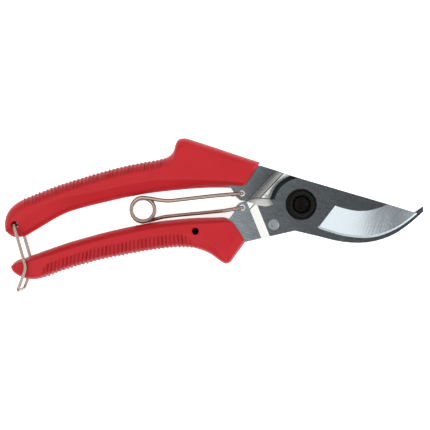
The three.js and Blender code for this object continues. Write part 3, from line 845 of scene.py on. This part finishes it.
# ------------------------------------------------------------------ steel members
CREASE = math.radians(5)                 # faces of two finishes meeting at more stay crisp
SOFT_CREASE = math.radians(24)           # the same for faces of one finish
STEP_ANGLE = -43.1                       # plan direction across the hook's step
STEP_PLACE = 16.2 * MM                   # how far the step is behind the pivot
STEP_LINE = (0.12 * MM, 0.4 * MM)        # half width of the painted shade line at its foot, and its fade
STEP_HEIGHT = (9.5 * MM, 9.7 * MM)       # heights between which that line comes in
POCKET_FLOOR = (9.15 * MM, 9.4 * MM)     # heights between which the pocket's painted shade ends
POCKET_EDGE = (14.5 * MM, 15.2 * MM)     # distances from the pivot where it ends
POCKET_SIDE = (0.0, 3.0 * MM)            # it is on the upper grip's side of the pivot only
BUTT_LENGTH = 5.0                        # a grip's rounded end, in millimetres
BUTT_SHARE = 0.16                        # its thickness at the very end, as a share of the whole
FRONT_SHARE = 0.74                       # the same at the grip's front
ROW_STEPS = 10                           # rows drawn between two of a grip's outline rows


def forged(node, width, choose):
    """A merged copy of a steel node with its edges broken. choose gives each face its finish."""
    made = finishes()
    mesh = frame["nodes"][node].data.copy()
    mesh.materials.clear()
    names = tuple(sorted(name for name in made.keys() if name.endswith("steel")))
    shell = bmesh.new()
    shell.from_mesh(mesh)
    bmesh.ops.remove_doubles(shell, verts=shell.verts, dist=2e-6)
    bmesh.ops.dissolve_limit(
        shell, angle_limit=math.radians(0.6), verts=shell.verts, edges=shell.edges
    )
    for face in shell.faces:
        face.smooth = True
        face.material_index = names.index(choose(face.normal, face.calc_center_median() / MM))
    for line in shell.edges:
        finishes_met = {face.material_index for face in line.link_faces}
        limit = SOFT_CREASE if len(finishes_met) == 1 else CREASE
        line.smooth = line.calc_face_angle(0) < limit
    shell.to_mesh(mesh)
    shell.free()
    piece = new_object(f"{node}_steel", mesh, *[made[name] for name in names])
    edge = piece.modifiers.new("broken edge", "BEVEL")
    edge.width = width
    edge.segments = 2
    edge.limit_method = "ANGLE"
    edge.angle_limit = math.radians(24)
    edge.use_clamp_overlap = True
    edge.harden_normals = True
    return baked(piece)


# Sloped faces of the hook get the brighter slope steel: a painted highlight chosen by tilt.
def hook_finish(normal, centre):
    if 0.5 < normal.z < 0.995 and centre.z > MEET / MM:
        return "Slope steel"
    return "Hook steel"


# Tilted faces of the blade get the brighter bevel, edge, leaf and slope steels: painted highlights
# chosen by tilt.
def blade_finish(normal, centre):
    if 0.2 < normal.z < 0.995 and centre.z > MEET / MM:
        if centre.x > 5:
            return "Bevel steel" if normal.z > 0.93 else "Edge steel"
        if normal.y > 0.3 and centre.y > -1.5:
            return "Leaf steel"
        return "Slope steel"
    if centre.x < -23.4:
        return "Tang steel"
    return "Blade steel"


class SHEARS_OT_blades(bpy.types.Operator):
    """Hooked counter blade and cutting blade, with ground and polished faces"""

    bl_idname = "shears.blades"
    bl_label = "Blades"

    def execute(self, context):
        width = context.scene.shears.steel.broken_edge
        for node, body, choose in (
            ("hook_blade", "hook_member", hook_finish),
            ("cutting_blade", "blade_member", blade_finish),
        ):
            piece = forged(node, width, choose)
            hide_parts(node)
            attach(piece, body)
        return {"FINISHED"}


# ------------------------------------------------------------------ pivot
def node_levels(node):
    low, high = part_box(node)
    return low[2] / MM, high[2] / MM


class SHEARS_OT_pivot(bpy.types.Operator):
    """Pivot bolt, washer, toothed nut and stop pin"""

    bl_idname = "shears.pivot"
    bl_label = "Pivot"

    def execute(self, context):
        made = finishes()
        self.bolt(made["Black oxide"])
        self.washer(made["Black oxide"])
        self.nut(made["Black oxide"], context.scene.shears.nut)
        self.pin(made["Pin steel"])
        return {"FINISHED"}

    def keep(self, piece, node, slot, body):
        shade(piece, 40)
        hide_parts(node)
        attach(piece, body)

    def bolt(self, material):
        low, high = node_levels("pivot_bolt")
        head = 3.45
        profile = filleted(
            [(0, low), (6.3, low), (7.15, low + 0.8), (7.15, head), (4.9, head), (4.7, head + 1),
             (4.4, 8.8), (4.4, BLADE_TOP / MM), (3.85, BLADE_TOP / MM + 0.3), (3.85, high - 0.5),
             (3.3, high), (1.2, high), (0.9, high - 0.4), (0, high - 0.5)],
            0.25,
        )
        piece = new_object("pivot_bolt_black", lathe("pivot_bolt_black", profile, PIVOT), material)
        self.keep(piece, "pivot_bolt", "black_steel", "hook_member")

    def washer(self, material):
        low, high = node_levels("pivot_washer")
        # It is dished: its rim bears on the blade and its middle carries the nut.
        ring = [(4.2, low + 0.3), (5.4, low), (7.4, low - 0.28), (7.5, low + 0.1), (7.4, high - 0.3),
                (6.6, high), (4.2, high), (4.2, low + 0.3)]
        piece = new_object("pivot_washer_black", lathe("pivot_washer_black", ring, PIVOT), material)
        self.keep(piece, "pivot_washer", "black_steel", "hook_member")

    def nut(self, material, size):
        low, high = node_levels("pivot_nut")
        floor = high - 1.3
        ring = filleted(
            [(4.15, low - 0.2), (5.85, low - 0.2), (5.85, high - 0.7), (5.55, high - 0.15),
             (4.95, high - 0.1), (4.75, floor), (4.15, floor), (4.15, low - 0.2)],
            0.2,
        )
        plain = new_object("pivot_nut_black", lathe("pivot_nut_black", ring, PIVOT))
        tooth = (1.1 * MM, size.tooth_width, 0.5 * MM)
        piece = run_tree(
            plain, teeth_tree(), count=size.teeth, ring=5.0 * MM, size=tooth,
            place=(PIVOT.x, PIVOT.y, (high - 0.26) * MM), material=material,
        )
        self.keep(piece, "pivot_nut", "black_steel", "hook_member")

    def pin(self, material):
        low, high = node_levels("stop_pin")
        box_low, box_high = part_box("stop_pin")
        centre = ((box_low[0] + box_high[0]) / 2, (box_low[1] + box_high[1]) / 2)
        profile = filleted(
            [(0, low), (1.8, low), (1.8, high - 3), (2.75, high - 2.9), (2.75, high - 0.4),
             (2.45, high - 0.25), (2.1, high), (0.8, high - 0.02), (0.55, high - 0.35),
             (0, high - 0.6)],
            0.15,
        )
        piece = new_object("stop_pin_steel", lathe("stop_pin_steel", profile, centre, 48), material)
        self.keep(piece, "stop_pin", "bright_steel", "blade_member")


# ------------------------------------------------------------------ wires
def rounded_route(corners, bend, steps=8):
    """A dense line through 3-D corners in metres, with each corner rounded."""
    corners = [Vector(corner) for corner in corners]
    line = [corners[0]]
    for before, corner, after in zip(corners, corners[1:], corners[2:]):
        into = before - corner
        out = after - corner
        trim = min(bend, into.length * 0.48, out.length * 0.48)
        start = corner + into.normalized() * trim
        end = corner + out.normalized() * trim
        for i in range(steps + 1):
            t = i / steps
            line.append(start * (1 - t) ** 2 + corner * 2 * t * (1 - t) + end * t * t)
    line.append(corners[-1])
    return line


def wire_piece(name, line, radius, sides, material):
    curve = bpy.data.curves.new(name, "CURVE")
    curve.dimensions = "3D"
    spline = curve.splines.new("POLY")
    spline.points.add(len(line) - 1)
    for point, spot in zip(spline.points, line):
        point.co = (*spot, 1.0)
    source = bpy.data.objects.new(name, curve)
    bpy.context.scene.collection.objects.link(source)
    tree = bpy.data.node_groups.get("Bent wire") or wire_tree()
    piece = run_tree(source, tree, radius=radius, sides=sides, material=material)
    tidy_mesh(piece.data, 1e-6)
    shade(piece, 50)
    return piece


COIL_TURNS = 2.5
COIL_RADIUS = 5.6 * MM
COIL_DRIFT = 0.45 * MM                   # how far the turns lean, in x and in y
ARM_DROP = 4.2 * MM                      # the arms' height over and under the sliding plane
LOWER_EYE = Vector((-27.8 * MM, -1.5 * MM, MEET))
UPPER_ARM = ((-70.8, 2.75), (-67.9, 2.2), (-64.6, 1.85), (-61.3, 1.85), (-57.5, 2.3), (-48, 3.4),
             (-38.5, 4.4))
LOWER_ARM = ((-71.4, -7.5), (-67.9, -6.5), (-64.6, -5.8), (-57.5, -5), (-48, -4.1), (-37.5, -3.0))
UPPER_TAIL = 5.0 * MM
LOWER_TAIL = 9.3 * MM


def coil_line(pitch):
    rise = COIL_TURNS * pitch / 2
    steps = 120
    line = []
    for i in range(steps + 1):
        turns = COIL_TURNS * i / steps
        angle = math.pi / 2 + 2 * math.pi * turns
        drift = (turns / COIL_TURNS - 0.5) * COIL_DRIFT
        x = COIL.x - drift + COIL_RADIUS * math.cos(angle)
        y = COIL.y - drift + COIL_RADIUS * math.sin(angle)
        line.append(Vector((x, y, MEET + rise - turns * pitch)))
    return line


def arm_line(start, points, side, eye):
    """From the coil to just before the eye, smoothly, while climbing to the tang's face."""
    count = len(points)
    rise = (start.z - MEET) * side
    route = [start]
    for i, (x, y) in enumerate(points):
        share = (i + 1) / count
        z = MEET + side * (rise + (ARM_DROP - rise) * share)
        route.append(Vector((x * MM, y * MM, z)))
    route.append(Vector((eye.x - 2.2 * MM, eye.y - 0.25 * MM, MEET + side * ARM_DROP)))
    return catmull(route, 10)


def end_line(last, eye, side, tail, slope):
    """Through the eye and back again on the other side of the tang."""
    back = Vector((-1.0, -slope, 0)).normalized() * tail
    corners = [
        last,
        Vector((eye.x, eye.y, MEET + side * ARM_DROP)),
        Vector((eye.x, eye.y, MEET - side * ARM_DROP)),
        Vector((eye.x, eye.y, MEET - side * ARM_DROP)) + back,
    ]
    return rounded_route(corners, 1.5 * MM)


class SHEARS_OT_spring(bpy.types.Operator):
    """Torsion spring: one wire, coiled between the grips and hooked through both tangs"""

    bl_idname = "shears.spring"
    bl_label = "Spring"

    def execute(self, context):
        size = context.scene.shears.wire
        material = finishes()["Plated wire"]
        radius = size.spring_diameter / 2
        pitch = (size.spring_diameter / MM + 0.3) * MM
        coil = coil_line(pitch)
        upper = arm_line(coil[0], UPPER_ARM, 1, UPPER_EYE)
        lower = arm_line(coil[-1], LOWER_ARM, -1, LOWER_EYE)
        whole = list(reversed(upper))[:-1] + coil + lower[1:]
        wire = wire_piece("spring_wire", whole, radius, size.sides, material)
        upper_end = wire_piece(
            "spring_upper_end", end_line(upper[-1], UPPER_EYE, 1, UPPER_TAIL, 0.12), radius,
            size.sides, material,
        )
        lower_end = wire_piece(
            "spring_lower_end", end_line(lower[-1], LOWER_EYE, -1, LOWER_TAIL, 0.17), radius,
            size.sides, material,
        )
        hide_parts("spring_upper_arm", "spring_lower_arm")
        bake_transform(wire)
        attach(upper_end, "spring_upper")
        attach(lower_end, "spring_lower")
        return {"FINISHED"}


LATCH_PLAN = ((-130.2, -28.6), (-130.2, -30.8), (-133.9, -40.7))


class SHEARS_OT_latch(bpy.types.Operator):
    """Wire loop that swings from the upper grip over the end of the lower one"""

    bl_idname = "shears.latch"
    bl_label = "Latch"

    def execute(self, context):
        size = context.scene.shears.wire
        low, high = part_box("latch_wire")
        leg = (high[2] - low[2] - size.latch_diameter) / 2
        spread = (leg, leg, leg - 0.3 * MM, leg - 0.6 * MM)
        plan = [(LATCH_HOLE.x, LATCH_HOLE.y)] + [(x * MM, y * MM) for x, y in LATCH_PLAN]
        front = [(x, y, z) for (x, y), z in zip(plan, spread)]
        front.insert(0, (LATCH_HOLE.x, LATCH_HOLE.y, 1.6 * MM))
        back = [(x, y, -z) for x, y, z in reversed(front)]
        route = [(x, y, MEET + z) for x, y, z in front + back]
        line = rounded_route(route, 2.0 * MM, 10)
        piece = wire_piece(
            "latch_loop", line, size.latch_diameter / 2, size.sides, finishes()["Latch plating"]
        )
        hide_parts("latch_wire")
        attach(piece, "latch")
        return {"FINISHED"}


# ------------------------------------------------------------------ stage
def softbox(name, azimuth, elevation, distance, size, power):
    """A square light that faces the shears. Azimuth 0 is towards -Y and 90 towards +X."""
    light = bpy.data.lights.new(name, "AREA")
    light.shape = "RECTANGLE"
    light.size, light.size_y = size
    light.energy = power
    lamp = bpy.data.objects.new(name, light)
    bpy.context.scene.collection.objects.link(lamp)
    turn, rise = math.radians(azimuth), math.radians(elevation)
    way = Vector((math.sin(turn) * math.cos(rise), -math.cos(turn) * math.cos(rise), math.sin(rise)))
    lamp.location = Vector((-0.03, 0, 0)) + way * distance
    lamp.rotation_mode = "QUATERNION"
    lamp.rotation_quaternion = way.to_track_quat("Z", "Y")
    return lamp


class SHEARS_OT_stage(bpy.types.Operator):
    """Pale floor, soft studio lights and the camera"""

    bl_idname = "shears.stage"
    bl_label = "Stage"

    def execute(self, context):
        scene = context.scene
        self.floor(scene.shears.finish.floor)
        self.lights(scene)
        self.camera(scene)
        scene.view_settings.view_transform = "Standard"
        return {"FINISHED"}

    def floor(self, colour):
        half = 4.0
        level = -0.0001
        corners = [(-half, -half, level), (half, -half, level), (half, half, level),
                   (-half, half, level)]
        mesh = mesh_from("floor", corners, [(0, 1, 2, 3)])
        finish = Finish("Floor", Roughness=0.9)
        finish.shader.inputs["Base Color"].default_value = (*colour, 1.0)
        # Lit from below, like a light table.
        finish.shader.inputs["Emission Color"].default_value = (1.0, 1.0, 1.0, 1.0)
        finish.shader.inputs["Emission Strength"].default_value = 0.6
        new_object("floor", mesh, finish.material)

    def lights(self, scene):
        softbox("key", 15, 48, 0.9, (0.6, 0.3), 0.4)
        world = bpy.data.worlds.new("studio")
        scene.world = world
        world.use_nodes = True
        background = world.node_tree.nodes["Background"]
        build = Tree(world.node_tree)
        way = build.add("ShaderNodeTexCoord").outputs["Generated"]
        # A white canopy, open round the camera, dim towards the horizon, with one dark flag.
        opening = build.add(
            "ShaderNodeVectorMath", {0: way, 1: (0.28, 0.01, 1.0)}, operation="DISTANCE"
        ).outputs["Value"]
        inner = self.ramp(build, opening, 0.27, 0.44, 0.09, 2.6)
        outer = self.ramp(build, opening, 0.85, 1.15, 1.0, 0.3)
        flag = build.add(
            "ShaderNodeVectorMath", {0: way, 1: (0.40, -0.43, 0.81)}, operation="DISTANCE"
        ).outputs["Value"]
        shaded = self.ramp(build, flag, 0.12, 0.27, 0.1, 1.0)
        across = build.add("ShaderNodeSeparateXYZ", {0: way}).outputs["Y"]
        far = self.ramp(build, across, 0.0, 0.6, 1.0, 0.6)
        near = self.ramp(build, across, -0.8, -0.3, 0.55, 1.0)
        strength = build.math("MULTIPLY", build.math("MULTIPLY", inner, outer), shaded)
        strength = build.math("MULTIPLY", build.math("MULTIPLY", strength, far), near)
        background.inputs["Color"].default_value = (1.0, 1.0, 1.0, 1.0)
        build.tree.links.new(strength, background.inputs["Strength"])

    def ramp(self, build, value, low, high, start, end):
        return build.add(
            "ShaderNodeMapRange",
            {"Value": value, "From Min": low, "From Max": high, "To Min": start, "To Max": end},
            interpolation_type="SMOOTHSTEP",
        ).outputs[0]

    def camera(self, scene):
        distance = 0.45
        width_seen = 0.2043
        data = bpy.data.cameras.new("camera")
        data.sensor_width = 36
        data.lens = data.sensor_width * distance / width_seen
        camera = bpy.data.objects.new("camera", data)
        scene.collection.objects.link(camera)
        camera.location = (-0.04085, -0.005, BLADE_TOP + distance)
        scene.camera = camera


# ------------------------------------------------------------------ panel and run
PIECES = (SHEARS_OT_stage, SHEARS_OT_grips, SHEARS_OT_blades, SHEARS_OT_pivot, SHEARS_OT_spring,
          SHEARS_OT_latch)
GROUPS = (ShearsGripSettings, ShearsSteelSettings, ShearsWireSettings, ShearsNutSettings,
          ShearsFinishSettings, ShearsSettings)


class SHEARS_PT_panel(bpy.types.Panel):
    """Lists the shears' settings and the steps that build them"""

    bl_idname = "SHEARS_PT_panel"
    bl_label = "Pruning shears"
    bl_space_type = "VIEW_3D"
    bl_region_type = "UI"
    bl_category = "Shears"

    def draw(self, context):
        settings = context.scene.shears
        for part in (settings.grip, settings.steel, settings.wire, settings.nut, settings.finish):
            box = self.layout.box()
            for key in part.__annotations__:
                box.prop(part, key)
        for piece in PIECES:
            self.layout.operator(piece.bl_idname)


def register():
    for group in (*GROUPS, *PIECES, SHEARS_PT_panel):
        bpy.utils.register_class(group)
    bpy.types.Scene.shears = PointerProperty(type=ShearsSettings)


def unregister():
    del bpy.types.Scene.shears
    for group in reversed((*GROUPS, *PIECES, SHEARS_PT_panel)):
        bpy.utils.unregister_class(group)


def main():
    register()
    for piece in PIECES:
        getattr(bpy.ops.shears, piece.bl_idname.split(".")[1])()


if __name__ == "__main__":
    main()
